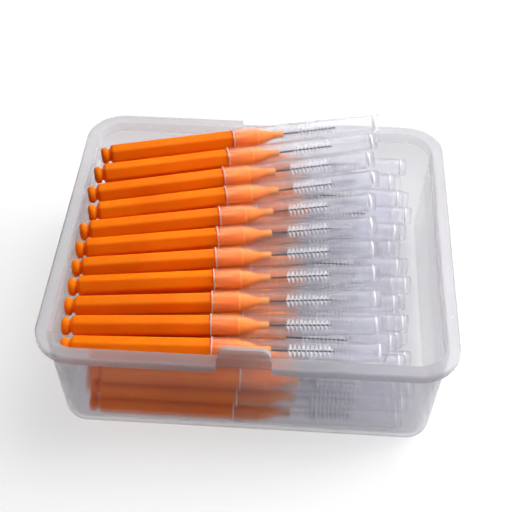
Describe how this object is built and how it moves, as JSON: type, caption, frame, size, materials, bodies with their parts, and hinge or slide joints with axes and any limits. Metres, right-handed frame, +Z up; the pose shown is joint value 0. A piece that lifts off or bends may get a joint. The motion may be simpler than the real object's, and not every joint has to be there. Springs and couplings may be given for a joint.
{
  "type": "interdental brush set",
  "caption": "Open frosted storage box filled with capped interdental brushes: hexagonal orange handles, wire stems with nylon bristles and clear push-on caps that draw off.",
  "frame": {"origin": "middle of the underside of the box, on the surface it stands on", "axes": "+X along the brushes from knobs to caps, +Y from the latch tab to the back, +Z up"},
  "size_m": [0.096, 0.088, 0.0359],
  "materials": {
    "box": "frosted translucent",
    "handle": "satin moulded",
    "wire": "twisted stem",
    "bristles": "nylon",
    "cap": "clear, slightly milky"
  },
  "bodies": {
    "box": {"box": "box", "handle_layer_1": "handle", "wire_layer_1": "wire", "bristles_layer_1": "bristles", "cap_layer_1": "cap", "handle_layer_2": "handle", "wire_layer_2": "wire", "bristles_layer_2": "bristles", "cap_layer_2": "cap", "handle_layer_3": "handle", "wire_layer_3": "wire", "bristles_layer_3": "bristles", "cap_layer_3": "cap"},
    "brush_01": {"handle_01": "handle", "wire_01": "wire", "bristles_01": "bristles"},
    "cap_01": {"cap_01": "cap"},
    "brush_02": {"handle_02": "handle", "wire_02": "wire", "bristles_02": "bristles"},
    "cap_02": {"cap_02": "cap"},
    "brush_03": {"handle_03": "handle", "wire_03": "wire", "bristles_03": "bristles"},
    "cap_03": {"cap_03": "cap"},
    "brush_04": {"handle_04": "handle", "wire_04": "wire", "bristles_04": "bristles"},
    "cap_04": {"cap_04": "cap"},
    "brush_05": {"handle_05": "handle", "wire_05": "wire", "bristles_05": "bristles"},
    "cap_05": {"cap_05": "cap"},
    "brush_06": {"handle_06": "handle", "wire_06": "wire", "bristles_06": "bristles"},
    "cap_06": {"cap_06": "cap"},
    "brush_07": {"handle_07": "handle", "wire_07": "wire", "bristles_07": "bristles"},
    "cap_07": {"cap_07": "cap"},
    "brush_08": {"handle_08": "handle", "wire_08": "wire", "bristles_08": "bristles"},
    "cap_08": {"cap_08": "cap"},
    "brush_09": {"handle_09": "handle", "wire_09": "wire", "bristles_09": "bristles"},
    "cap_09": {"cap_09": "cap"},
    "brush_10": {"handle_10": "handle", "wire_10": "wire", "bristles_10": "bristles"},
    "cap_10": {"cap_10": "cap"},
    "brush_11": {"handle_11": "handle", "wire_11": "wire", "bristles_11": "bristles"},
    "cap_11": {"cap_11": "cap"}
  },
  "joints": [
    {"name": "lift_01", "type": "slide", "parent": "box", "child": "brush_01", "axis": [0, 0, 1], "range_m": [0, 0.06]},
    {"name": "uncap_01", "type": "slide", "parent": "brush_01", "child": "cap_01", "axis": [0.9659, 0.2588, 0], "range_m": [0, 0.036]},
    {"name": "lift_02", "type": "slide", "parent": "box", "child": "brush_02", "axis": [0, 0, 1], "range_m": [0, 0.06]},
    {"name": "uncap_02", "type": "slide", "parent": "brush_02", "child": "cap_02", "axis": [0.9659, 0.2588, 0], "range_m": [0, 0.036]},
    {"name": "lift_03", "type": "slide", "parent": "box", "child": "brush_03", "axis": [0, 0, 1], "range_m": [0, 0.06]},
    {"name": "uncap_03", "type": "slide", "parent": "brush_03", "child": "cap_03", "axis": [0.9659, 0.2588, 0], "range_m": [0, 0.036]},
    {"name": "lift_04", "type": "slide", "parent": "box", "child": "brush_04", "axis": [0, 0, 1], "range_m": [0, 0.06]},
    {"name": "uncap_04", "type": "slide", "parent": "brush_04", "child": "cap_04", "axis": [0.9686, 0.2487, 0], "range_m": [0, 0.036]},
    {"name": "lift_05", "type": "slide", "parent": "box", "child": "brush_05", "axis": [0, 0, 1], "range_m": [0, 0.06]},
    {"name": "uncap_05", "type": "slide", "parent": "brush_05", "child": "cap_05", "axis": [0.9755, 0.2198, 0], "range_m": [0, 0.036]},
    {"name": "lift_06", "type": "slide", "parent": "box", "child": "brush_06", "axis": [0, 0, 1], "range_m": [0, 0.06]},
    {"name": "uncap_06", "type": "slide", "parent": "brush_06", "child": "cap_06", "axis": [0.9816, 0.1908, 0], "range_m": [0, 0.036]},
    {"name": "lift_07", "type": "slide", "parent": "box", "child": "brush_07", "axis": [0, 0, 1], "range_m": [0, 0.06]},
    {"name": "uncap_07", "type": "slide", "parent": "brush_07", "child": "cap_07", "axis": [0.9869, 0.1616, 0], "range_m": [0, 0.036]},
    {"name": "lift_08", "type": "slide", "parent": "box", "child": "brush_08", "axis": [0, 0, 1], "range_m": [0, 0.06]},
    {"name": "uncap_08", "type": "slide", "parent": "brush_08", "child": "cap_08", "axis": [0.9912, 0.1323, 0], "range_m": [0, 0.036]},
    {"name": "lift_09", "type": "slide", "parent": "box", "child": "brush_09", "axis": [0, 0, 1], "range_m": [0, 0.06]},
    {"name": "uncap_09", "type": "slide", "parent": "brush_09", "child": "cap_09", "axis": [0.9947, 0.1028, 0], "range_m": [0, 0.036]},
    {"name": "lift_10", "type": "slide", "parent": "box", "child": "brush_10", "axis": [0, 0, 1], "range_m": [0, 0.06]},
    {"name": "uncap_10", "type": "slide", "parent": "brush_10", "child": "cap_10", "axis": [0.9973, 0.0732, 0], "range_m": [0, 0.036]},
    {"name": "lift_11", "type": "slide", "parent": "box", "child": "brush_11", "axis": [0, 0, 1], "range_m": [0, 0.06]},
    {"name": "uncap_11", "type": "slide", "parent": "brush_11", "child": "cap_11", "axis": [0.999, 0.0436, 0], "range_m": [0, 0.036]}
  ],
  "couplings": [
    {"joint": "uncap_01", "follows": "lift_01", "ratio": 0.6},
    {"joint": "uncap_02", "follows": "lift_02", "ratio": 0.6},
    {"joint": "uncap_03", "follows": "lift_03", "ratio": 0.6},
    {"joint": "uncap_04", "follows": "lift_04", "ratio": 0.6},
    {"joint": "uncap_05", "follows": "lift_05", "ratio": 0.6},
    {"joint": "uncap_06", "follows": "lift_06", "ratio": 0.6},
    {"joint": "uncap_07", "follows": "lift_07", "ratio": 0.6},
    {"joint": "uncap_08", "follows": "lift_08", "ratio": 0.6},
    {"joint": "uncap_09", "follows": "lift_09", "ratio": 0.6},
    {"joint": "uncap_10", "follows": "lift_10", "ratio": 0.6},
    {"joint": "uncap_11", "follows": "lift_11", "ratio": 0.6}
  ]
}
